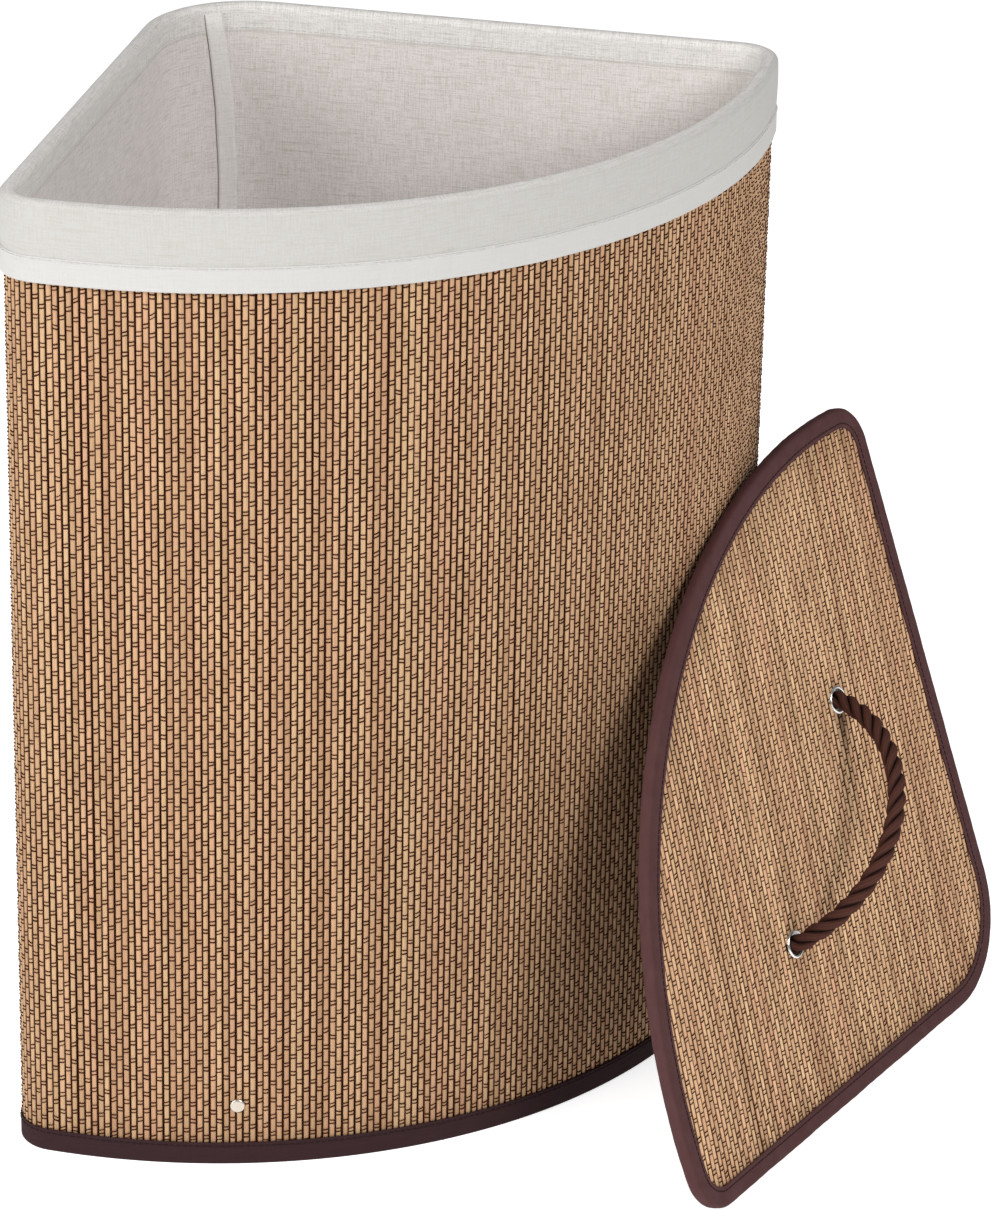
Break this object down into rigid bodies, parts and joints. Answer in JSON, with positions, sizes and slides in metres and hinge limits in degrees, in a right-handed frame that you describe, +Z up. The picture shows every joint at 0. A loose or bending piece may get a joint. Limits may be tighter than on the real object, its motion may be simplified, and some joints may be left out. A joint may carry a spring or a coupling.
{
  "type": "laundry hamper with lid",
  "caption": "Corner laundry hamper with a curved bamboo mat front, a loose cloth liner and a lift-off lid with a rope handle, leaning beside it.",
  "frame": {"origin": "on the floor, at the middle of the hamper's own plan, on the underside of its base board", "axes": "+Z up; -Y towards the curved front; +Y towards the square back corner; +X towards the side where the lid leans"},
  "size_m": [0.6081, 0.5073, 0.576],
  "materials": {
    "bamboo": "split bamboo slats, satin",
    "binding": "dark brown non-woven cloth tape",
    "board": "raw fibreboard and lath",
    "liner": "off-white linen-look weave",
    "metal": "nickel plate",
    "rope": "dark brown twisted cord"
  },
  "bodies": {
    "hamper": {"mat_front": "bamboo", "mat_left": "bamboo", "mat_right": "bamboo", "foot_binding": "binding", "top_binding": "binding", "seam_tape": "binding", "rim_lath": "board", "base_board": "board", "base_tabs": "liner", "stud_caps": "metal", "stud_sockets": "metal"},
    "liner": {"liner_front": "liner", "liner_left": "liner", "liner_right": "liner", "liner_bottom": "liner", "liner_cuff": "liner", "cuff_hem": "liner", "liner_seam": "liner"},
    "lid": {"lid_core": "board", "lid_mat": "bamboo", "lid_lining": "liner", "lid_binding": "binding", "eyelets": "metal", "eyelet_washers": "metal", "rope_tails": "rope"},
    "handle": {"rope_arch": "rope"}
  },
  "joints": [
    {"name": "lid_lift", "type": "slide", "parent": "hamper", "child": "lid", "axis": [0.3964, -0.85, 0.3469], "range_m": [0, 0.4]},
    {"name": "handle_swing", "type": "hinge", "parent": "lid", "child": "handle", "pos_m": [0.20481, -0.20191, 0.15485], "axis": [-0.5372, -0.5212, -0.6632], "range_deg": [-70, 80]},
    {"name": "liner_lift", "type": "slide", "parent": "hamper", "child": "liner", "axis": [0, 0, 1], "range_m": [0, 0.6]}
  ]
}
